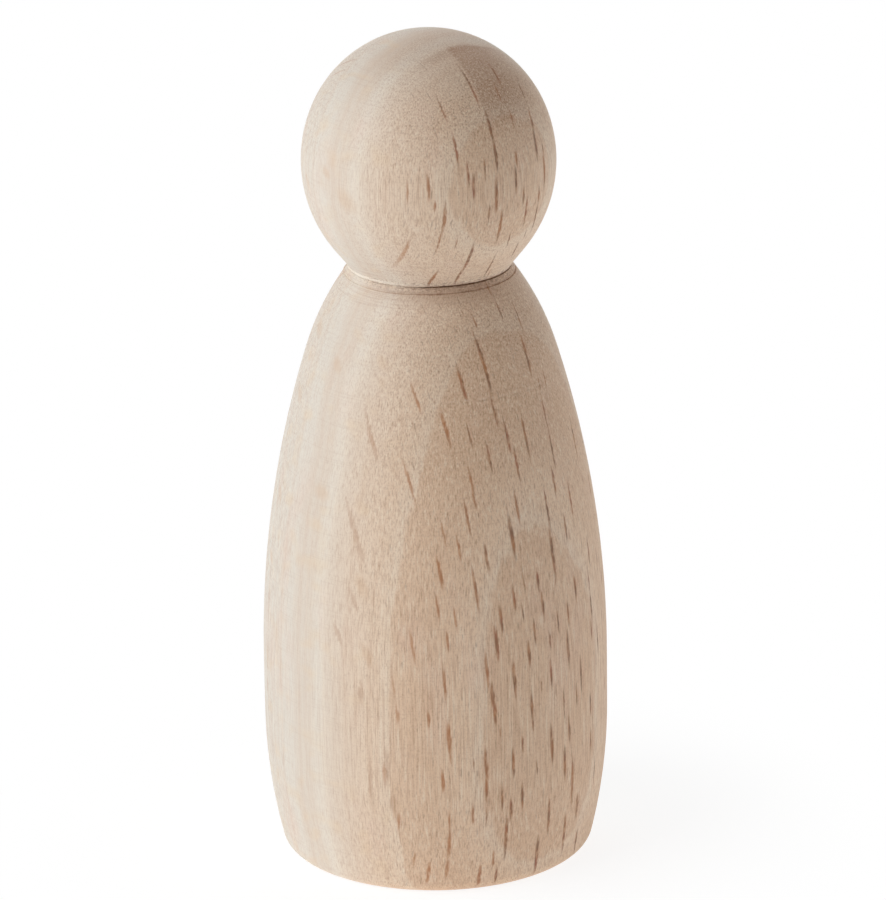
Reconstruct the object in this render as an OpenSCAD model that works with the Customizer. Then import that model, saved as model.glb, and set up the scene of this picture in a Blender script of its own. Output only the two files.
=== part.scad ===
// Peg doll, turned in one piece from a beech blank: a ball head on a full round body, with a
// narrow groove for a neck. It stands on the XY plane, its axis is Z, and its origin is the
// centre of the base. Half of its outline is drawn and turned round the axis. That outline is a
// chain of arcs and straight cuts, and each runs into the next without a corner, except at the
// groove. A slope is given in degrees off upright.

/* [Whole doll] */
// Overall height, from the base to the crown of the head
doll_h = 90; // [80:0.5:104]

/* [Foot] */
// Height of the long curve that leads from the base out to the belly
foot_h = 15.5; // [10:0.5:20]
// Radius of that curve
foot_curve_r = 61; // [40:1:90]
// Radius that takes the sharpness off the edge of the base
foot_edge_r = 1.7; // [0.8:0.1:3]

/* [Body] */
// Greatest diameter of the body
belly_d = 36.8; // [33:0.1:42]
// Height of the straight band at the greatest diameter
belly_h = 5.9; // [2:0.1:10]
// Slope at which the flank gives way to the shoulder
flank_turn = 17.1; // [14:0.1:20]
// Slope at which the shoulder ends at the groove
shoulder_turn = 36.8; // [31:0.1:43]

/* [Neck] */
// Diameter at the mouth of the groove
neck_d = 17.2; // [14.5:0.1:19]
// Width of the groove at its mouth
groove_w = 0.32; // [0.2:0.02:1.2]
// Depth of the groove, from its mouth to its pointed bottom
groove_depth = 1.1; // [0.5:0.1:3]
// Distance from the groove down to the fine ring scribed beside it
ring_drop = 0.55; // [0.4:0.05:2]
// Width of the scribed ring
ring_w = 0.16; // [0.1:0.02:0.3]
// Depth of the scribed ring
ring_depth = 0.1; // [0.05:0.01:0.2]

/* [Head] */
// Greatest diameter of the head
head_d = 26.7; // [24:0.1:30]
// Height of the crown over the widest place of the head
crown_h = 13.8; // [12:0.1:15.5]
// Slope at which the cheek gives way to the crown
cheek_turn = 23; // [15:1:50]
// Slope of the straight cut that leads from under the cheek down to the groove
jaw_turn = 38.7; // [32:0.1:50]

/* [Hidden] */
$fn = 180;

beech = [0.87, 0.72, 0.57];

// Room by which a slice or a cutter runs past the place where its own edge would show
overrun = 0.5;
// By how much an arc stands proud of the flatter curve it runs into, so that the two cross
proud = 0.001;

belly_r = belly_d / 2;
neck_r = neck_d / 2;
head_r = head_d / 2;

// Radii of two arcs that lead from an upright wall to a place that lies nearer the axis by run
// and higher by rise. The first gives way to the second at one slope, and the second ends at
// another.
function two_radii(run, rise, change, end) =
    let (spread_share = sin(end) - sin(change) - sin(end - change))
    [
        (run * (sin(end) - sin(change)) - rise * (cos(change) - cos(end))) / spread_share,
        (rise * (1 - cos(change)) - run * sin(change)) / spread_share,
    ];

// Distance of an arc from the axis at a height
function arc_x(centre, radius, height) =
    centre.x + sqrt(pow(radius, 2) - pow(height - centre.y, 2));

// Head, from its widest place up to the crown and down to the straight cut
widest_z = doll_h - crown_h;
head_radii = two_radii(head_r, crown_h, cheek_turn, 90);
cheek_r = head_radii[0];
crown_r = head_radii[1];
crown_low = widest_z + cheek_r * sin(cheek_turn);
jaw_x = head_r - cheek_r * (1 - cos(jaw_turn));
jaw_z = widest_z - cheek_r * sin(jaw_turn);

// Groove, whose upper lip lies where the straight cut comes down to the diameter of its mouth
lip_z = jaw_z - (jaw_x - neck_r) / tan(jaw_turn);
groove_z = lip_z - groove_w / 2;
groove_low = lip_z - groove_w;

// Body, from the belly up to the lower lip of the groove
belly_top = foot_h + belly_h;
body_radii = two_radii(belly_r - neck_r, groove_low - belly_top, flank_turn, shoulder_turn);
flank_r = body_radii[0];
shoulder_r = body_radii[1];
flank_top = belly_top + flank_r * sin(flank_turn);
shoulder_centre = [
    belly_r - flank_r + (flank_r - shoulder_r) * cos(flank_turn),
    belly_top + (flank_r - shoulder_r) * sin(flank_turn),
];

// Edge of the base, a small arc that rolls from the foot's long curve on to the flat
edge_x = arc_x([belly_r - foot_curve_r, foot_h], foot_curve_r - foot_edge_r, foot_edge_r);
edge_top = foot_edge_r * (1 + (foot_edge_r - foot_h) / (foot_curve_r - foot_edge_r));

// What lies between the axis and an arc, from one height to another
module arc_slice(centre, radius, low, high) {
    intersection() {
        translate(centre) circle(r = radius);
        translate([0, low]) square([belly_d, high - low]);
    }
}

// The same for an arc that leaves an upright wall, drawn from the wall so that it meets it
module wall_slice(wall, radius, low, high) {
    intersection() {
        translate(wall) translate([-radius, 0]) circle(r = radius);
        translate([0, low]) square([belly_d, high - low]);
    }
}

// Half outline of the foot, from the flat base up to the belly
module foot_outline() {
    square([edge_x, edge_top]);
    arc_slice([edge_x + proud, foot_edge_r], foot_edge_r, -overrun, foot_h);
    wall_slice([belly_r, foot_h], foot_curve_r, edge_top, foot_h + overrun);
}

// Half outline of the belly, the flank and the shoulder, up into the groove
module body_outline() {
    translate([0, foot_h]) square([belly_r, belly_h]);
    wall_slice([belly_r, belly_top], flank_r, belly_top - overrun, flank_top);
    arc_slice(shoulder_centre + [proud, 0], shoulder_r, belly_top, groove_z);
}

// Half outline of the head, from the groove and the straight cut above it up to the crown
module head_outline() {
    groove_x = neck_r - groove_w / 2 * tan(jaw_turn);
    polygon([[0, groove_z], [groove_x, groove_z], [jaw_x - proud, jaw_z], [0, jaw_z]]);
    wall_slice([head_r, widest_z], cheek_r, lip_z, crown_low);
    arc_slice([0, doll_h - crown_r - proud], crown_r + proud, widest_z, doll_h + overrun);
}

// Cutter for the groove at the neck, a narrow V that points at the axis
module groove_cutter() {
    mouth_half = groove_w / 2 * (groove_depth + overrun) / groove_depth;
    polygon([
        [neck_r - groove_depth, groove_z],
        [neck_r + overrun, groove_z - mouth_half],
        [neck_r + overrun, groove_z + mouth_half],
    ]);
}

// Cutter for the fine ring scribed in the shoulder beside the groove
module ring_cutter() {
    ring_z = groove_low - ring_drop;
    surface_x = arc_x(shoulder_centre, shoulder_r, ring_z);
    polygon([
        [surface_x - ring_depth, ring_z],
        [surface_x + ring_depth, ring_z - ring_w],
        [surface_x + ring_depth, ring_z + ring_w],
    ]);
}

module peg_doll() {
    color(beech) rotate_extrude() difference() {
        union() {
            foot_outline();
            body_outline();
            head_outline();
        }
        groove_cutter();
        ring_cutter();
    }
}

peg_doll();
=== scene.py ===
# A plain peg doll, turned in one piece from a beech blank and left bare. Lengths are in metres.
# The doll stands on the XY plane, its turning axis is Z, and the camera looks along +Y.
import math

import bpy
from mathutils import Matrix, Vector


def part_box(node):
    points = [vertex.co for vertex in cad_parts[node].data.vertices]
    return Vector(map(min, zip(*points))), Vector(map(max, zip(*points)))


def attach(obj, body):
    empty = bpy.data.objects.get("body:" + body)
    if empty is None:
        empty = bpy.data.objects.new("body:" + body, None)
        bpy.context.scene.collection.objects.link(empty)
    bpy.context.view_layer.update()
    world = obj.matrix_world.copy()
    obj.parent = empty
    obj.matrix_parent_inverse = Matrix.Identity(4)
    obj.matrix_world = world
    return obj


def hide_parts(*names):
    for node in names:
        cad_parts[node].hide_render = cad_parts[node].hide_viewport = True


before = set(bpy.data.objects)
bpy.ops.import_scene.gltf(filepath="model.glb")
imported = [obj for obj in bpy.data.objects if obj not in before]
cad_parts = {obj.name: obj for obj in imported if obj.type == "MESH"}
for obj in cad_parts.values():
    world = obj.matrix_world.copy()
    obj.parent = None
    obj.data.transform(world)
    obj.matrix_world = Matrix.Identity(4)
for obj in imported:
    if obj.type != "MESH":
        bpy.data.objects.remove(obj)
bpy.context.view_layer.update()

# Camera: it stands in front of the doll on a long lens and looks down on it a little. It is
# turned and rolled by less than a degree, as it was held when the picture was taken.
scene = bpy.context.scene
camera_away = 0.65
camera_climb = math.radians(18.964)
camera_aim = 0.045
camera_turns = (70.957, 0.723, -0.352)
camera_data = bpy.data.cameras.new("camera")
camera_data.lens = 245.15
camera_data.sensor_width = 36
camera = bpy.data.objects.new("camera", camera_data)
camera.location = (
    0,
    -camera_away * math.cos(camera_climb),
    camera_aim + camera_away * math.sin(camera_climb),
)
camera.rotation_euler = [math.radians(turn) for turn in camera_turns]
scene.collection.objects.link(camera)
scene.camera = camera

# Peg doll: one turning of beech, with a ball head, a narrow V groove for a neck and a full
# round body. Half of its outline is drawn upwards from the centre of the base, arc by arc, and
# is then spun round the axis, as the wood was on the lathe.
mm = 0.001
foot_h = 15.5 * mm
foot_curve_r = 61 * mm
foot_edge_r = 1.7 * mm
belly_h = 5.9 * mm
flank_turn = 17.1
shoulder_turn = 36.8
neck_r = 8.6 * mm
groove_w = 0.32 * mm
groove_depth = 1.1 * mm
head_r = 13.35 * mm
crown_h = 13.8 * mm
cheek_turn = 23
jaw_turn = 38.7
turned_sides = 256

_, high_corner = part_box("peg_doll")
doll_h = high_corner.z
belly_r = high_corner.x


def two_radii(run, rise, change, end):
    """Radii of two arcs that lead inwards by run and upwards by rise from an upright wall."""
    change_sin = math.sin(math.radians(change))
    change_cos = math.cos(math.radians(change))
    end_sin = math.sin(math.radians(end))
    end_cos = math.cos(math.radians(end))
    spread = end_sin - change_sin - math.sin(math.radians(end - change))
    first = (run * (end_sin - change_sin) - rise * (change_cos - end_cos)) / spread
    second = (rise * (1 - change_cos) - run * change_sin) / spread
    return first, second


def on_arc(centre, radius, slope):
    """Place on an arc where its surface leans by a slope, in degrees off upright."""
    turn = math.radians(slope)
    return centre + Vector((math.cos(turn), math.sin(turn))) * radius


widest = Vector((head_r, doll_h - crown_h))
cheek_r, crown_r = two_radii(head_r, crown_h, cheek_turn, 90)
cheek_centre = widest - Vector((cheek_r, 0))
crown_centre = Vector((0, doll_h - crown_r))
jaw = on_arc(cheek_centre, cheek_r, -jaw_turn)
lip = Vector((neck_r, jaw.y - (jaw.x - neck_r) / math.tan(math.radians(jaw_turn))))
groove_low = lip - Vector((0, groove_w))
groove_floor = lip - Vector((groove_depth, groove_w / 2))
belly_top = foot_h + belly_h
flank_r, shoulder_r = two_radii(
    belly_r - neck_r, groove_low.y - belly_top, flank_turn, shoulder_turn
)
flank_centre = Vector((belly_r - flank_r, belly_top))
shoulder_centre = on_arc(flank_centre, flank_r - shoulder_r, flank_turn)
foot_centre = Vector((belly_r - foot_curve_r, foot_h))
foot_low_turn = math.degrees(math.asin((foot_h - foot_edge_r) / (foot_curve_r - foot_edge_r)))
edge_centre = on_arc(foot_centre, foot_curve_r - foot_edge_r, -foot_low_turn)


def straight_cut(start, end, steps=1):
    """Draws the outline on from start to end in a straight line."""
    step = (end - start) / steps
    for _ in range(steps):
        bpy.ops.mesh.extrude_region_move(TRANSFORM_OT_translate={"value": (step.x, 0, step.y)})


def round_cut(centre, start_turn, end_turn, steps):
    """Draws the outline on round a centre, from one slope to another."""
    bpy.ops.mesh.spin(
        steps=steps,
        angle=math.radians(end_turn - start_turn),
        center=(centre.x, 0, centre.y),
        axis=(0, 1, 0),
    )


def scribed_ring(centre, radius, turn, width, depth):
    """Draws a fine V ring in the end of an arc, and returns the slope at its upper edge."""
    end_turn = turn + math.degrees(width / radius)
    bottom = on_arc(centre, radius - depth, (turn + end_turn) / 2)
    straight_cut(on_arc(centre, radius, turn), bottom)
    straight_cut(bottom, on_arc(centre, radius, end_turn))
    return end_turn


bpy.ops.object.select_all(action="DESELECT")
bpy.ops.mesh.primitive_plane_add(size=mm)
doll = bpy.context.object
doll.name = "turned_doll"
doll.data.name = "turned_doll"
bpy.ops.object.mode_set(mode="EDIT")
bpy.ops.mesh.merge(type="CENTER")

# Base and foot
base_edge = Vector((edge_centre.x, 0))
straight_cut(Vector((0, 0)), base_edge, steps=6)
round_cut(edge_centre, -90, -foot_low_turn, steps=10)
round_cut(foot_centre, -foot_low_turn, 0, steps=22)

# Belly and flank
straight_cut(Vector((belly_r, foot_h)), Vector((belly_r, belly_top)), steps=8)
round_cut(flank_centre, 0, flank_turn, steps=46)

# Shoulder, with two light tool rings and, over them, the scribed ring. Each is given by the slope
# at its lower edge and its depth.
ring_w = 0.16 * mm
ring_depth = 0.1 * mm
ring_drop = 0.55 * mm
ring_z = groove_low.y - ring_drop
ring_turn = math.degrees(math.asin((ring_z - shoulder_centre.y) / shoulder_r))
ring_low_turn = ring_turn - math.degrees(ring_w / shoulder_r) / 2
shoulder_rings = ((34.1, 0.01 * mm), (34.8, 0.015 * mm), (ring_low_turn, ring_depth))
steps_to_degree = 2
turn = flank_turn
for low_turn, depth in shoulder_rings:
    steps = max(2, round((low_turn - turn) * steps_to_degree))
    round_cut(shoulder_centre, turn, low_turn, steps=steps)
    turn = scribed_ring(shoulder_centre, shoulder_r, low_turn, ring_w, depth)
round_cut(shoulder_centre, turn, shoulder_turn, steps=3)

# Groove, and the burr that the point of the tool threw up on its upper lip
burr_out = 0.07 * mm
burr_h = 0.16 * mm
crest_h = 0.6 * burr_h


def on_jaw(rise):
    """Place on the straight cut under the cheek, at a height over the groove's upper lip."""
    return lip + Vector((rise * math.tan(math.radians(jaw_turn)), rise))


burr_low = lip + Vector((burr_out, crest_h / 2))
burr_crest = on_jaw(crest_h) + Vector((burr_out, 0))
burr_end = on_jaw(burr_h)
straight_cut(groove_low, groove_floor, steps=3)
straight_cut(groove_floor, lip, steps=3)
straight_cut(lip, burr_low)
straight_cut(burr_low, burr_crest)
straight_cut(burr_crest, burr_end)

# Jaw, cheek and crown
straight_cut(burr_end, jaw, steps=6)
round_cut(cheek_centre, -jaw_turn, cheek_turn, steps=52)
round_cut(crown_centre, cheek_turn, 90, steps=44)

# The turning itself
bpy.ops.mesh.select_all(action="SELECT")
bpy.ops.mesh.spin(steps=turned_sides, angle=2 * math.pi, center=(0, 0, 0), axis=(0, 0, 1))
bpy.ops.mesh.select_all(action="SELECT")
bpy.ops.mesh.remove_doubles(threshold=0.002 * mm)
bpy.ops.mesh.normals_make_consistent(inside=False)
bpy.ops.object.mode_set(mode="OBJECT")

# The burr is ragged, so noise pushes it in and out
burr_reach = 1.5 * burr_h
in_burr = [v.index for v in doll.data.vertices if lip.y < v.co.z < lip.y + burr_reach]
burr = doll.vertex_groups.new(name="burr")
burr.add(in_burr, 1.0, "REPLACE")
ragged = bpy.data.textures.new("ragged_burr", type="CLOUDS")
ragged.noise_scale = 0.9 * mm
fray = doll.modifiers.new("fray", "DISPLACE")
fray.texture = ragged
fray.vertex_group = "burr"
fray.strength = 0.14 * mm
fray.mid_level = 0.5
fray.texture_coords = "LOCAL"
bpy.ops.object.modifier_apply(modifier="fray")
doll.vertex_groups.clear()


def share_of_way(value, start, end):
    """How much of the way from start to end a value has come, from 0 to 1."""
    return min(1, max(0, (value - start) / (end - start)))


# The burr is folded down over the groove. On the left it comes down about twice as far as on the
# right, and nearly closes it.
folded_down = 0.31 * mm
least_fold = 0.45
fold_start = -0.2
fold_end = 0.4
lip_slack = 0.01
for vertex in doll.data.vertices:
    over_lip = (vertex.co.z - lip.y) / burr_reach
    if -lip_slack < over_lip < 1:
        share = share_of_way(-vertex.co.x / neck_r, fold_start, fold_end)
        fold = least_fold + (1 - least_fold) * share * share * (3 - 2 * share)
        vertex.co.z -= folded_down * fold * (1 - max(0, over_lip))

# On the left the point hardly touched the shoulder, so the floor of the scribed ring comes up
ring_floor = on_arc(shoulder_centre, shoulder_r - ring_depth, ring_turn)
rise_start = 0.1
rise_end = 0.45
for vertex in doll.data.vertices:
    if abs(vertex.co.z - ring_floor.y) < 0.1 * ring_w:
        share = share_of_way(-vertex.co.x / neck_r, rise_start, rise_end)
        wider = 1 + share * ring_depth / ring_floor.x
        vertex.co.x *= wider
        vertex.co.y *= wider
bpy.ops.object.shade_smooth_by_angle(angle=math.radians(35))

# Bare beech, sanded on the lathe. The board that the blank came from lay flat-sawn, with its
# growth rings square to a direction that stands to the right of the camera. All the figure is
# solid, so it runs through the doll, and it is worked out in millimetres.
beech = bpy.data.materials.new("bare_beech")
beech.use_nodes = True
nodes = beech.node_tree.nodes
links = beech.node_tree.links
finish = nodes["Principled BSDF"]


def node(kind, inputs, **settings):
    """Adds a node to the material in hand, with what goes into it and its settings."""
    added = nodes.new("ShaderNode" + kind)
    for name, value in settings.items():
        setattr(added, name, value)
    for place, value in inputs.items():
        if isinstance(value, bpy.types.NodeSocket):
            links.new(value, added.inputs[place])
        else:
            added.inputs[place].default_value = value
    return added


def sum_of(operation, *values):
    """One step of arithmetic on numbers."""
    return node("Math", dict(enumerate(values)), operation=operation).outputs[0]


def product(first, *others):
    """Numbers multiplied by one another."""
    for other in others:
        first = sum_of("MULTIPLY", first, other)
    return first


def away_from(value, middle):
    """How far a value lies from a middle one, on either side of it."""
    return sum_of("ABSOLUTE", sum_of("SUBTRACT", value, middle))


def faded(value, low, high, to_low=0.0, to_high=1.0, carried="SMOOTHSTEP"):
    """A value carried smoothly from one span on to another, and held at the ends."""
    return node(
        "MapRange",
        {"Value": value, "From Min": low, "From Max": high, "To Min": to_low, "To Max": to_high},
        interpolation_type=carried,
    ).outputs["Result"]


def straight(value, low, high, to_low=0.0, to_high=1.0):
    """The same without the smoothing."""
    return faded(value, low, high, to_low, to_high, carried="LINEAR")


def noise_of(place, lengths, detail=2.0):
    """Noise whose features are about as long as lengths, across, through and along the grain."""
    stretched = node("VectorMath", {0: place, 1: lengths}, operation="DIVIDE").outputs[0]
    made = node("TexNoise", {"Vector": stretched, "Scale": 1.0, "Detail": detail})
    return made.outputs["Fac"]


def waver(place, lengths, detail=2.0):
    """The same noise about zero, to push something either way."""
    return sum_of("SUBTRACT", noise_of(place, lengths, detail), 0.5)


def shade(red, green, blue):
    """A colour as the eye reads it, from 0 to 255, turned into the light that it gives back."""
    parts = [part / 255 for part in (red, green, blue)]
    light = [p / 12.92 if p <= 0.04045 else ((p + 0.055) / 1.055) ** 2.4 for p in parts]
    return (*light, 1.0)


def stained(wood, colour, *shares):
    """The wood's colour with another laid over it, as strongly as the product of some shares."""
    return node("Mix", {0: product(*shares), 6: wood, 7: colour}, data_type="RGBA").outputs[2]


# Where a point lies in the board: across it, out towards the bark, and up along the grain. The
# last value is 1 where the doll faces the bark or the pith, and 0 half way between them.
bark_turn = math.radians(40)
across_way = (math.cos(bark_turn), math.sin(bark_turn), 0)
bark_way = (math.sin(bark_turn), -math.cos(bark_turn), 0)
local = node("TexCoord", {}).outputs["Object"]
in_mm = node("VectorMath", {0: local, "Scale": 1000.0}, operation="SCALE").outputs[0]
across = node("VectorMath", {0: in_mm, 1: across_way}, operation="DOT_PRODUCT").outputs["Value"]
bark = node("VectorMath", {0: in_mm, 1: bark_way}, operation="DOT_PRODUCT").outputs["Value"]
apart = node("SeparateXYZ", {0: in_mm})
to_right = apart.outputs["X"]
up = apart.outputs["Z"]
board = node("CombineXYZ", {0: across, 1: bark, 2: up}).outputs[0]
axis_away = sum_of("SQRT", sum_of("ADD", product(across, across), product(bark, bark)))
facing_bark = sum_of("ABSOLUTE", sum_of("DIVIDE", bark, axis_away))

# Growth rings bow out towards the bark, swell a little round the shoulder, and lean back near
# the crown. Each starts at a sharp dark edge behind a pale strip, and fades before the next. A
# ring is given by its edge, how dark it is there, how far it holds, how dark it is by then, and
# how wide and how pale the strip before it is. Fine bands run along it.
pith_away = 80.0
shoulder_swell = 0.5
crown_lean = 0.005
lean_start = 75.0
scallop_depth = 0.6
bowed = sum_of("ADD", bark, sum_of("DIVIDE", product(across, across), 2 * pith_away))
over_cheek = sum_of("MAXIMUM", sum_of("SUBTRACT", up, lean_start), 0.0)
leant = sum_of("MULTIPLY_ADD", product(over_cheek, over_cheek), crown_lean, bowed)
round_shoulder = product(faded(up, 47.0, 54.0), faded(up, 68.0, 60.0))
swollen = sum_of("MULTIPLY_ADD", round_shoulder, shoulder_swell, leant)
wander = waver(board, (5.0, 5.0, 14.0), detail=3.0)
scallop = waver(board, (1.8, 1.8, 3.6))
wandered = sum_of("ADD", wander, swollen)
ring_place = sum_of("MULTIPLY_ADD", scallop, scallop_depth, wandered)
ring_span = 20.0
rings = (
    (-17.5, 0.3, 1.6, 0.2, 0.0, 0.0), (-12.2, 0.3, 1.6, 0.2, 0.0, 0.0),
    (-6.6, 0.2, 3.6, 0.26, 1.0, 0.05), (-1.7, 0.22, 1.4, 0.24, 0.0, 0.0),
    (0.3, 0.42, 2.4, 0.46, 0.0, 0.0), (5.4, 0.27, 4.4, 0.12, 1.2, 0.55),
    (11.9, 0.4, 2.8, 0.6, 1.3, 0.8), (17.05, 0.85, 1.6, 0.5, 0.7, 0.8),
)
edge_w = 0.15
ring_ramp = node("ValToRGB", {"Fac": straight(ring_place, -ring_span, ring_span)})
ramp = ring_ramp.color_ramp
ramp.elements[0].color = (0, 0, 0, 1)
ramp.elements[1].color = (0, 0, 0, 1)
before = 0.0
for edge, dark, hold, held, pale_w, pale in rings:
    stops = [(edge - edge_w, before, 0.0), (edge, dark, 0.0), (edge + hold, held, 0.0)]
    if pale:
        stops[:1] = [(edge - pale_w, 0.0, 0.0), (edge - edge_w, 0.0, pale)]
    for place, darkness, paleness in stops:
        stop = ramp.elements.new((place + ring_span) / (2 * ring_span))
        stop.color = (darkness, paleness, 0, 1)
    before = held
ring_shades = node("SeparateColor", {0: ring_ramp.outputs["Color"]})
ring_dark = ring_shades.outputs[0]
ring_pale = ring_shades.outputs[1]
band = noise_of(node("CombineXYZ", {0: ring_place}).outputs[0], (0.9, 1.0, 1.0), detail=3.0)

# Rays show end on as dark spindles where the doll faces the bark or the pith, and side on as
# soft flakes in between. The biggest on the face that was sawn flat are placed one by one:
# across the board, up the doll, length and width.
head_flecks = (
    (-1.8, 86.2, 3.0, 0.24), (-1.65, 82.5, 2.6, 0.28), (-1.75, 79.7, 2.6, 0.3),
    (-2.0, 75.5, 3.0, 0.34), (0.8, 78.9, 1.5, 0.24), (0.5, 76.8, 2.6, 0.28),
    (4.4, 81.9, 1.7, 0.3), (4.15, 79.6, 2.6, 0.36), (5.35, 77.0, 3.8, 0.3),
    (-5.75, 80.6, 3.0, 0.25), (-5.7, 84.5, 2.0, 0.2), (-5.0, 78.2, 2.4, 0.22),
    (-4.55, 76.8, 2.2, 0.28), (-3.2, 78.5, 2.2, 0.2), (-8.6, 77.0, 2.6, 0.24),
    (-10.15, 76.6, 2.4, 0.18), (-8.1, 75.0, 1.2, 0.2), (-7.2, 73.4, 3.2, 0.26),
    (-7.2, 71.0, 2.6, 0.2), (-2.75, 73.7, 1.8, 0.22), (-1.15, 71.9, 3.0, 0.3),
    (1.65, 74.8, 1.6, 0.26), (2.3, 73.0, 2.6, 0.28), (4.35, 74.2, 1.7, 0.24),
    (4.4, 71.6, 2.6, 0.26), (0.65, 70.1, 1.6, 0.22), (3.3, 70.0, 1.4, 0.18),
    (-3.65, 68.5, 3.2, 0.28), (-3.55, 66.2, 1.8, 0.26), (-0.3, 66.8, 2.6, 0.24),
    (0.3, 65.7, 1.2, 0.18), (2.6, 68.2, 1.8, 0.22), (-5.85, 66.0, 2.0, 0.26),
    (-9.4, 69.4, 3.0, 0.28), (2.05, 86.7, 1.6, 0.24), (1.0, 85.3, 1.8, 0.18),
    (1.45, 82.9, 1.6, 0.2), (4.7, 84.7, 1.6, 0.2), (-5.6, 70.6, 1.6, 0.16),
)
body_flecks = (
    (0.25, 64.1, 1.4, 0.2), (0.55, 62.0, 1.8, 0.22), (2.9, 60.8, 3.0, 0.2),
    (-2.8, 61.4, 1.3, 0.2), (-3.2, 57.3, 5.2, 0.3), (2.45, 57.0, 3.4, 0.32),
    (-5.85, 55.6, 2.9, 0.32), (-9.95, 54.4, 2.8, 0.22), (4.6, 54.1, 1.8, 0.18),
    (3.5, 54.0, 2.0, 0.18), (-3.15, 52.6, 3.0, 0.25), (-8.2, 51.3, 3.2, 0.28),
    (3.45, 51.0, 2.6, 0.22), (-13.5, 50.6, 4.5, 0.22), (-6.2, 50.5, 2.4, 0.2),
    (-2.2, 49.7, 2.7, 0.28), (0.05, 49.4, 3.8, 0.26), (-4.6, 48.0, 2.6, 0.24),
    (3.65, 47.2, 3.6, 0.26), (8.4, 46.8, 3.6, 0.24), (-1.6, 46.8, 3.2, 0.26),
    (-11.9, 46.0, 3.8, 0.22), (-6.8, 46.0, 2.8, 0.22), (-6.8, 44.0, 1.8, 0.22),
    (3.15, 43.9, 2.6, 0.28), (-2.35, 42.4, 2.8, 0.26), (-7.7, 42.2, 3.2, 0.24),
    (1.6, 41.4, 4.0, 0.28), (5.6, 41.3, 3.0, 0.28), (-10.0, 40.6, 2.8, 0.18),
    (-3.35, 39.7, 4.0, 0.36), (-8.85, 39.0, 2.6, 0.22), (4.1, 38.8, 2.6, 0.26),
    (-16.0, 38.6, 5.6, 0.24), (-6.35, 37.8, 2.6, 0.26), (1.65, 36.8, 4.4, 0.36),
    (-10.75, 36.6, 3.0, 0.26), (-2.5, 34.8, 3.0, 0.18), (-7.75, 34.6, 4.4, 0.24),
    (8.2, 34.6, 2.8, 0.24), (-0.7, 34.2, 1.9, 0.3), (1.7, 33.8, 1.8, 0.16),
    (-3.8, 33.0, 2.4, 0.26), (-11.25, 33.0, 3.0, 0.2), (7.65, 32.0, 2.8, 0.22),
    (4.85, 31.9, 2.6, 0.3), (-9.85, 31.6, 2.4, 0.2), (-0.3, 31.5, 2.6, 0.28),
    (-2.9, 31.3, 1.8, 0.2), (-5.4, 30.9, 2.6, 0.28), (3.35, 29.5, 2.5, 0.27),
    (1.7, 29.3, 2.4, 0.24), (7.8, 29.2, 2.4, 0.28), (-10.65, 29.2, 2.2, 0.22),
    (-1.6, 28.9, 2.4, 0.26), (-13.4, 28.6, 3.4, 0.22), (-6.05, 28.5, 3.1, 0.34),
    (0.4, 27.6, 1.8, 0.24), (-2.4, 26.7, 2.3, 0.32), (7.6, 26.4, 2.0, 0.22),
    (3.1, 25.8, 3.3, 0.32), (-7.15, 25.7, 3.2, 0.28), (9.1, 25.0, 3.4, 0.22),
    (-11.1, 24.6, 3.8, 0.24), (-4.25, 24.3, 3.2, 0.34), (-14.85, 24.0, 2.6, 0.16),
    (0.4, 23.9, 2.6, 0.28), (-6.65, 22.8, 2.4, 0.38), (-0.95, 22.8, 1.6, 0.2),
    (5.25, 22.2, 3.4, 0.3), (1.1, 21.8, 1.6, 0.2), (-14.65, 21.0, 2.2, 0.2),
    (9.9, 21.0, 2.2, 0.22), (-6.45, 20.8, 2.2, 0.34), (-2.2, 20.6, 2.6, 0.3),
    (-12.45, 20.6, 1.6, 0.24), (4.4, 20.3, 2.4, 0.24), (2.3, 19.8, 3.0, 0.22),
    (-2.1, 18.7, 1.4, 0.22), (-5.9, 18.6, 1.2, 0.18), (-10.8, 18.4, 3.0, 0.34),
    (7.15, 18.2, 2.2, 0.28), (-3.4, 16.8, 1.6, 0.24), (3.1, 16.8, 2.5, 0.34),
    (-10.7, 16.3, 1.4, 0.18), (0.4, 15.8, 3.7, 0.36), (-8.6, 15.2, 1.6, 0.18),
    (-7.4, 15.2, 3.0, 0.34), (-4.5, 14.9, 2.6, 0.3), (-15.5, 14.1, 2.4, 0.22),
    (7.2, 14.0, 2.4, 0.24), (-1.6, 13.7, 1.6, 0.2), (-11.35, 13.6, 2.2, 0.26),
    (2.4, 13.1, 3.2, 0.34), (-7.35, 12.3, 2.8, 0.26), (-5.65, 11.0, 2.3, 0.27),
    (-3.35, 10.8, 2.6, 0.28), (3.8, 10.4, 4.6, 0.34), (8.4, 9.8, 3.6, 0.2),
    (-4.6, 9.6, 2.2, 0.3), (-8.55, 9.5, 2.0, 0.24), (-7.2, 9.2, 2.2, 0.18),
    (-10.65, 9.0, 2.2, 0.2), (-14.45, 8.8, 2.0, 0.18), (0.35, 7.5, 3.6, 0.3),
    (5.0, 7.2, 2.4, 0.34), (-4.9, 6.3, 4.2, 0.32), (-10.45, 6.2, 3.0, 0.26),
    (3.15, 4.5, 3.8, 0.36), (-13.0, 4.4, 1.6, 0.2), (-6.0, 3.9, 2.0, 0.24),
    (-10.3, 3.2, 1.8, 0.28), (-0.75, 3.1, 3.8, 0.36), (5.8, 2.6, 2.4, 0.3),
    (-11.75, 2.6, 2.2, 0.26), (-7.2, 2.0, 2.2, 0.3), (-5.45, 1.7, 1.6, 0.26),
)
fleck_spread = 1.7
full_width = 0.34
body_lean = 0.05
head_curl = 0.0048
head_mid = 76.0
far_off = 10.0


def grain_at(sideways):
    """Place on the grain: sideways, and up the doll."""
    return node("CombineXYZ", {0: sideways, 2: up}).outputs[0]


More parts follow.
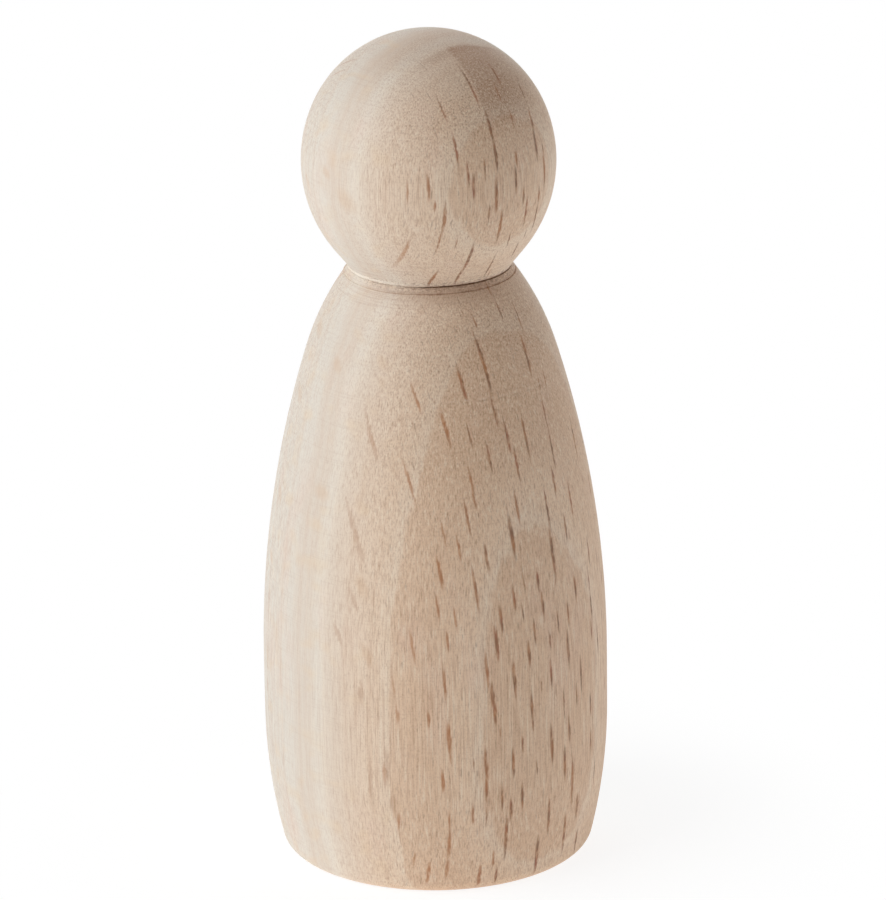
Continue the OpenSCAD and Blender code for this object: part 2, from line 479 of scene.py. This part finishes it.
frayed = waver(board, (0.25, 0.25, 0.9), detail=1.0)
frayed_across = sum_of("MULTIPLY_ADD", frayed, 0.2, across)
body_grain = grain_at(sum_of("MULTIPLY_ADD", up, body_lean, frayed_across))
from_mid = sum_of("SUBTRACT", up, head_mid)
curled = sum_of("MULTIPLY_ADD", product(from_mid, from_mid), -head_curl, frayed_across)
head_grain = grain_at(curled)


def nearer(nearest, grain, place, height, length, width):
    """How near a point is to one ray seen end on, a thin spindle, or to those before it. In the
    middle of a wide one it is 0, and thin ones stay fainter."""
    half_w = fleck_spread * width / 2
    half_l = fleck_spread * length / 2
    faint = 1.1 * max(0, 1 - width / full_width)
    laid = node(
        "VectorMath",
        {0: grain, 1: (1 / half_w, 0, 1 / half_l), 2: (-place / half_w, faint, -height / half_l)},
        operation="MULTIPLY_ADD",
    ).outputs[0]
    away = node("VectorMath", {0: laid}, operation="LENGTH").outputs["Value"]
    return sum_of("MINIMUM", nearest, away)


nearest_fleck = far_off
for place, height, length, width in head_flecks:
    grain_place = place - head_curl * (height - head_mid) ** 2
    nearest_fleck = nearer(nearest_fleck, head_grain, grain_place, height, length, width)
for place, height, length, width in body_flecks:
    grain_place = place + body_lean * height
    nearest_fleck = nearer(nearest_fleck, body_grain, grain_place, height, length, width)
placed = faded(nearest_fleck, 1.0, 0.35)

# On the left the face turns from flat-sawn to quarter-sawn, and there the rays lie open, some as
# soft flakes and some as long leaning streaks. They are placed by depth towards the bark, up the
# doll, length and width, and near the foot they stand upright.
soft_flakes = (
    (-0.6, 77.3, 1.1, 1.0), (2.3, 74.8, 2.2, 2.0), (-4.8, 75.5, 1.2, 0.6),
    (-5.3, 58.9, 1.3, 1.8), (0.2, 56.5, 1.4, 1.1), (5.5, 57.7, 1.2, 0.9),
    (1.2, 43.5, 1.4, 2.0), (7.3, 34.6, 2.2, 1.2), (8.3, 27.2, 2.2, 1.0),
    (-8.0, 33.9, 1.2, 1.2), (-7.0, 40.9, 1.6, 0.9), (-6.2, 51.9, 1.5, 1.2),
)
leaning_streaks = (
    (6.0, 50.4, 4.2, 0.4), (6.0, 40.2, 5.2, 0.5), (6.5, 33.1, 1.8, 0.5), (5.0, 29.0, 1.8, 0.5),
)
upright_streaks = (
    (7.7, 23.2, 2.0, 0.45), (8.5, 13.3, 4.6, 0.45), (10.1, 15.2, 3.2, 0.5),
    (10.5, 10.8, 1.8, 0.5), (10.8, 8.8, 1.9, 0.45),
)
flake_lean = 0.44
ragged_bark = sum_of("MULTIPLY_ADD", frayed, 0.8, bark)
leaning_grain = grain_at(sum_of("MULTIPLY_ADD", up, flake_lean, ragged_bark))
upright_grain = grain_at(ragged_bark)
quarter_sawn = faded(across, -3.0, -8.0)
nearest_flake = far_off
for place, height, length, width in soft_flakes:
    grain_place = place + flake_lean * height
    nearest_flake = nearer(nearest_flake, leaning_grain, grain_place, height, length, width)
open_ray = product(quarter_sawn, faded(nearest_flake, 1.0, 0.2))
nearest_streak = far_off
for place, height, length, width in leaning_streaks:
    grain_place = place + flake_lean * height
    nearest_streak = nearer(nearest_streak, leaning_grain, grain_place, height, length, width)
for place, height, length, width in upright_streaks:
    nearest_streak = nearer(nearest_streak, upright_grain, place, height, length, width)
streak = product(quarter_sawn, faded(nearest_streak, 1.0, 0.35))


def scattered_flecks(gap, seed, half_width, half_length):
    """Rays strewn through the board, one in each cell of the size of gap."""
    cells = node("VectorMath", {0: board, 1: gap}, operation="DIVIDE").outputs[0]
    cells = node("VectorMath", {0: cells, 1: (seed, seed, seed)}, operation="ADD").outputs[0]
    strewn = node("TexVoronoi", {"Vector": cells, "Scale": 1.0}, voronoi_dimensions="3D")
    draw = node("SeparateColor", {0: strewn.outputs["Color"]})
    off = node("VectorMath", {0: cells, 1: strewn.outputs["Position"]}, operation="SUBTRACT")
    thin = straight(draw.outputs[0], 0.0, 1.0, gap[0] / half_width[0], gap[0] / half_width[1])
    long = straight(draw.outputs[1], 0.0, 1.0, gap[2] / half_length[0], gap[2] / half_length[1])
    size = node("CombineXYZ", {0: thin, 1: 0.0, 2: long}).outputs[0]
    spot = node("VectorMath", {0: off.outputs[0], 1: size}, operation="MULTIPLY").outputs[0]
    away = node("VectorMath", {0: spot}, operation="LENGTH").outputs["Value"]
    return product(faded(away, 1.0, 0.3), straight(draw.outputs[2], 0.0, 1.0, 0.35, 1.0))


# The placed flecks show on the flat-sawn face and the strewn ones beyond it, with small ones
# strewn between them all over
flat_sawn = product(faded(bark, 0.0, 2.5), faded(across, 10.8, 9.0), faded(across, -17.0, -15.5))
beyond = sum_of("SUBTRACT", 1.0, flat_sawn)
strewn_fleck = scattered_flecks((2.3, 14.0, 5.2), 0.0, (0.12, 0.24), (0.9, 2.3))
fleck = sum_of("MAXIMUM", product(placed, flat_sawn), product(strewn_fleck, beyond))
small_fleck = scattered_flecks((1.5, 9.0, 3.1), 7.3, (0.06, 0.12), (0.35, 0.9))
end_on = faded(facing_bark, 0.3, 0.8)
side_on = faded(facing_bark, 0.75, 0.35)

# Colour: cream towards the pith, and tan with a touch of pink towards the bark. The late wood of
# each ring is browner, and the early wood before it is paler. The cut runs across the fibres
# where the surface slopes on the bark side, and all over the base.
cream = shade(235, 231, 221)
tan = shade(243, 214, 185)
pink = shade(238, 208, 190)
late_wood = shade(206, 162, 126)
early_wood = shade(247, 236, 218)
facing_up = node("SeparateXYZ", {0: node("TexCoord", {}).outputs["Normal"]}).outputs["Z"]
upper_ends = product(faded(facing_up, 0.05, 0.75), faded(ring_place, 5.0, 13.0))
cut_ends = sum_of("MAXIMUM", upper_ends, faded(facing_up, -0.85, -0.98))
ring_stain = sum_of("MULTIPLY_ADD", cut_ends, 0.25, faded(facing_up, 0.55, 0.9, 0.45, 0.66))
# The tan towards the bark is partly the wood's own tone and partly painted shade of the doll's
# right side, away from the main lamp
wood = stained(cream, tan, faded(sum_of("MULTIPLY_ADD", wander, 3.0, bark), -3.0, 14.0))
wood = stained(wood, pink, faded(noise_of(board, (4.0, 4.0, 11.0)), 0.5, 0.8, 0.0, 0.35))
wood = stained(wood, late_wood, faded(band, 0.4, 0.7, 0.0, 0.14))
wood = stained(wood, late_wood, ring_dark, ring_stain)
wood = stained(wood, early_wood, ring_pale, 0.35)

# The open ends of the fibres make such a cut browner. It is brownest on the crown, in a patch
# with a sharp left edge, and along the ring at the back of the patch. Painted shade darkens the
# right side of the foot, and the shoulder towards the bark, a little.
cut_brown = shade(184, 140, 106)
crown_brown = shade(190, 142, 104)
patch_brown = shade(150, 100, 68)
line_brown = shade(158, 108, 70)
foot_painted_shade = shade(184, 146, 114)
shoulder_painted_shade = shade(190, 146, 104)
wood = stained(wood, cut_brown, cut_ends, faded(across, -3.0, 4.0, 0.38, 0.6))
wood = stained(wood, crown_brown, faded(facing_up, 0.72, 0.97), faded(bark, -3.0, 4.0, 0.0, 0.24))
past_ring = faded(ring_place, 5.1, 5.7)
patch = product(past_ring, faded(curled, -2.2, -1.7), faded(curled, 7.5, 0.5))
wood = stained(wood, patch_brown, patch, faded(up, 81.5, 85.5, 0.0, 0.42))
line = product(past_ring, faded(ring_place, 6.9, 5.9), faded(facing_up, 0.82, 0.95))
wood = stained(wood, line_brown, line, faded(across, -7.0, -4.0, 0.0, 0.34))
# Painted shade on the right side of the foot
wood = stained(wood, foot_painted_shade, faded(up, 9.0, 2.0), faded(across, 3.0, 11.0, 0.0, 0.16))
# Painted shade on the shoulder towards the bark
on_shoulder = product(faded(up, 64.0, 60.0), faded(up, 43.0, 50.0))
wood = stained(wood, shoulder_painted_shade, on_shoulder, faded(bark, 7.5, 11.0, 0.0, 0.12))

# Fibres and pores run up the doll, some paler and some darker, and where they are cut across
# they are specks. They show least where the doll faces neither the bark nor the pith. Each stain
# is given by its noise, the levels where it starts and is full, its strength and its colour.
fibre = noise_of(board, (0.15, 0.15, 5.0), detail=1.0)
fine_fibre = noise_of(board, (0.09, 0.09, 2.2), detail=0.0)
pore = noise_of(board, (0.12, 0.12, 0.6), detail=1.0)
speck = noise_of(board, (0.15, 0.15, 0.2), detail=0.0)
speckled = sum_of("MULTIPLY_ADD", cut_ends, 0.5, 0.14)
grain_stains = (
    (fibre, 0.5, 0.75, 0.42, shade(184, 140, 108)),
    (fibre, 0.48, 0.25, 0.5, shade(250, 236, 216)),
    (fine_fibre, 0.55, 0.85, 0.35, shade(176, 130, 98)),
    (pore, 0.52, 0.75, 0.26, shade(168, 124, 96)),
    (speck, 0.55, 0.8, speckled, shade(250, 236, 212)),
    (speck, 0.45, 0.2, speckled, shade(146, 102, 68)),
)
grained = wood
for grain_noise, start, full, strength, colour in grain_stains:
    grained = stained(grained, colour, faded(grain_noise, start, full), strength)
grainy = sum_of("MAXIMUM", faded(facing_bark, 0.0, 0.6, 0.3, 1.0), cut_ends)
wood = stained(wood, grained, grainy)

# Rays seen side on are soft orange flakes
flake_orange = shade(236, 206, 166)
open_ray_orange = shade(216, 176, 136)
streak_brown = shade(176, 124, 86)
flake = faded(noise_of(board, (1.4, 3.4, 2.6), detail=1.0), 0.52, 0.8)
wood = stained(wood, flake_orange, flake, side_on, 0.25)
wood = stained(wood, open_ray_orange, open_ray, 0.26)
wood = stained(wood, streak_brown, streak, 0.32)

# Rays seen end on run from orange brown to a dark red brown, and are paler on the left. Each
# darkens unevenly from a rusty ground.
orange_brown = shade(166, 104, 58)
red_brown = shade(148, 72, 46)
dark_brown = shade(108, 68, 42)
left_brown = shade(184, 122, 78)
small_brown = shade(140, 96, 70)
rust = shade(210, 146, 96)
fleck_ink = stained(orange_brown, red_brown, faded(noise_of(board, (1.6, 9.0, 3.0)), 0.45, 0.62))
fleck_ink = stained(fleck_ink, dark_brown, faded(noise_of(board, (0.5, 9.0, 2.0)), 0.38, 0.62))
fleck_ink = stained(fleck_ink, left_brown, faded(across, -4.0, -10.0, 0.0, 0.75))
wood = stained(wood, small_brown, small_fleck, end_on, 0.4)
wood = stained(wood, rust, fleck, end_on, 0.4)
wood = stained(wood, fleck_ink, fleck, end_on, faded(frayed, 0.25, -0.12, 0.3, 0.8))

# The tool left fine lines, most of them round the neck
tool_brown = shade(170, 126, 98)
tool_lines = noise_of(board, (6.0, 6.0, 0.13))
near_neck = faded(away_from(up, lip.y / mm), 4.5, 0.8)
tool_mark = sum_of("MULTIPLY_ADD", near_neck, 0.12, 0.07)
wood = stained(wood, tool_brown, faded(tool_lines, 0.52, 0.68), tool_mark)

# Where the tool cut into the slope on the bark side, the wood beside the groove is torn, and a
# broken brown line lies in the scribed ring. Under the groove there, painted shadow of the head
# darkens the wood.
painted_head_shadow = shade(150, 104, 76)
torn_brown = shade(126, 84, 58)
torn_cream = shade(250, 234, 210)
ring_brown = shade(146, 102, 74)
from_groove = sum_of("SUBTRACT", up, (lip.y + groove_low.y) / 2 / mm)
# Painted shadow of the head, just under the groove on the bark side
painted_shadow_below_groove = product(
    faded(from_groove, -2.6, -0.2), faded(from_groove, 0.3, 0.1), faded(across, 4.0, 0.5, 0.3, 1.0)
)
wood = stained(wood, painted_head_shadow, painted_shadow_below_groove, faded(bark, -2.0, 7.0, 0.0, 0.34))
torn = noise_of(board, (0.35, 0.35, 0.15), detail=1.0)
by_groove = product(
    faded(sum_of("ABSOLUTE", from_groove), 0.75, 0.3), faded(bark, -5.0, 5.0, 0.2, 1.0)
)
wood = stained(wood, torn_brown, by_groove, faded(torn, 0.52, 0.66, 0.0, 0.4))
wood = stained(wood, torn_cream, by_groove, faded(torn, 0.46, 0.32, 0.0, 0.4))
ragged_ring = sum_of("MULTIPLY_ADD", torn, 0.3, away_from(up, ring_z / mm))
broken = faded(noise_of(board, (0.7, 0.7, 6.0)), 0.36, 0.6, 0.0, 0.5)
in_ring = product(faded(ragged_ring, 0.32, 0.19), broken)
wood = stained(wood, ring_brown, in_ring, faded(bark, 1.5, 6.0))

# One short scratch runs across the shoulder, with a pale edge over it
scratch_brown = shade(150, 112, 84)
scratch_cream = shade(250, 238, 222)
scratch_up = 53.8
scratch_w = 0.22
on_scratch = product(
    faded(across, -8.5, -6.5),
    faded(across, 5.0, 3.0),
    faded(noise_of(board, (1.2, 1.2, 9.0)), 0.45, 0.62),
)
scratch = faded(away_from(up, scratch_up), 0.12, 0.03, 0.0, 0.25)
scratch_edge = faded(away_from(up, scratch_up + scratch_w), 0.16, 0.04, 0.0, 0.18)
wood = stained(wood, scratch_brown, on_scratch, scratch)
wood = stained(wood, scratch_cream, on_scratch, scratch_edge)

# The burr is pale along its crest, which comes down with the fold. The pale is partly its raised
# fibres and partly a painted highlight from the main lamp, and is least on the right
burr_cream_and_highlight = shade(252, 242, 226)
crest_fold = 0.42 * folded_down / mm
neck_in_mm = neck_r / mm
crest_drop = faded(
    to_right, -fold_start * neck_in_mm, -fold_end * neck_in_mm, least_fold * crest_fold, crest_fold
)
crest_up = sum_of("SUBTRACT", (lip.y + crest_h) / mm, crest_drop)
ragged_crest = sum_of("MULTIPLY_ADD", frayed, 0.5, away_from(up, crest_up))
wood = stained(wood, burr_cream_and_highlight, faded(ragged_crest, 0.22, 0.1), faded(bark, 8.2, 1.0, 0.1, 0.6))
links.new(wood, finish.inputs["Base Color"])

# Bare wood barely shines. Its pores and the lines of the tool stand in its surface.
links.new(faded(pore, 0.3, 0.7, 0.58, 0.72), finish.inputs["Roughness"])
lines_deep = sum_of("MULTIPLY_ADD", near_neck, 0.7, 0.3)
line_height = product(sum_of("SUBTRACT", tool_lines, 0.5), lines_deep)
grain_height = sum_of("MULTIPLY_ADD", pore, -0.6, line_height)
relief = node("Bump", {"Height": grain_height, "Strength": 0.6, "Distance": 0.03 * mm})
links.new(relief.outputs[0], finish.inputs["Normal"])

doll.data.materials.append(beech)
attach(doll, "root")
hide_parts("peg_doll")

# Floor and backdrop: one pale sheet under the doll, and white all round it. The sheet keeps the
# doll's soft shadow, and runs out into plain white a little way off.
plain_white = (1, 1, 1, 1)
off_white = (0.9, 0.9, 0.9, 1)
shadow_r = 0.018
white_r = 0.05
least_white = 0.75
bpy.ops.object.select_all(action="DESELECT")
bpy.ops.mesh.primitive_plane_add(size=4.0, location=(0, 0, 0))
floor = bpy.context.object
floor.name = "floor"
pale_sheet = bpy.data.materials.new("pale_sheet")
pale_sheet.use_nodes = True
nodes = pale_sheet.node_tree.nodes
links = pale_sheet.node_tree.links
sheet = nodes["Principled BSDF"]
sheet.inputs["Base Color"].default_value = off_white
sheet.inputs["Roughness"].default_value = 0.9
# The sheet also glows a little, though it is no lamp, so that it lights the doll from below
sheet.inputs["Emission Color"].default_value = plain_white
sheet.inputs["Emission Strength"].default_value = 0.4


def looked_at():
    """1 for a ray that looks, straight or by gloss or glass, and 0 for one that gathers light."""
    ray = node("LightPath", {})
    by_gloss = sum_of("MAXIMUM", ray.outputs["Is Glossy Ray"], ray.outputs["Is Transmission Ray"])
    return sum_of("MAXIMUM", ray.outputs["Is Camera Ray"], by_gloss)


white = node("Emission", {"Color": plain_white, "Strength": 1.0})
sheet_place = node("TexCoord", {}).outputs["Object"]
from_doll = node("VectorMath", {0: sheet_place}, operation="LENGTH").outputs["Value"]
run_out = product(looked_at(), faded(from_doll, shadow_r, white_r, least_white, 1.0))
blank = node("MixShader", {0: run_out, 1: sheet.outputs[0], 2: white.outputs[0]})
links.new(blank.outputs[0], nodes["Material Output"].inputs["Surface"])
floor.data.materials.append(pale_sheet)

world = bpy.data.worlds.new("white_room")
scene.world = world
world.use_nodes = True
nodes = world.node_tree.nodes
links = world.node_tree.links
room = nodes["Background"]
room.inputs["Color"].default_value = plain_white
links.new(looked_at(), room.inputs["Strength"])


# Lamps: a broad soft box high on the left does most of the work. A low one on the right, a
# little behind, lifts the far edge, and two weak ones behind and overhead fill in.
def soft_box(name, turn, climb, width, height, share):
    """Adds a lamp that looks at the middle of the doll. Its share of full light is what a white
    card facing it there would give back."""
    away = 0.6
    aim = Vector((0, 0, doll_h / 2))
    turn = math.radians(turn)
    climb = math.radians(climb)
    way = Vector((
        math.sin(turn) * math.cos(climb),
        -math.cos(turn) * math.cos(climb),
        math.sin(climb),
    ))
    lamp_data = bpy.data.lights.new(name, "AREA")
    lamp_data.shape = "RECTANGLE"
    lamp_data.size = width
    lamp_data.size_y = height
    lamp_data.energy = share * (math.pi * away) ** 2
    lamp = bpy.data.objects.new(name, lamp_data)
    lamp.location = aim + way * away
    lamp.rotation_euler = way.to_track_quat("Z", "Y").to_euler()
    scene.collection.objects.link(lamp)


soft_box("left_box", turn=-65, climb=35, width=0.5, height=0.5, share=0.70)
soft_box("right_box", turn=100, climb=10, width=0.5, height=0.3, share=0.22)
soft_box("back_box", turn=180, climb=35, width=0.5, height=0.5, share=0.23)
soft_box("top_box", turn=0, climb=80, width=0.5, height=0.5, share=0.12)

scene.view_settings.view_transform = "Standard"
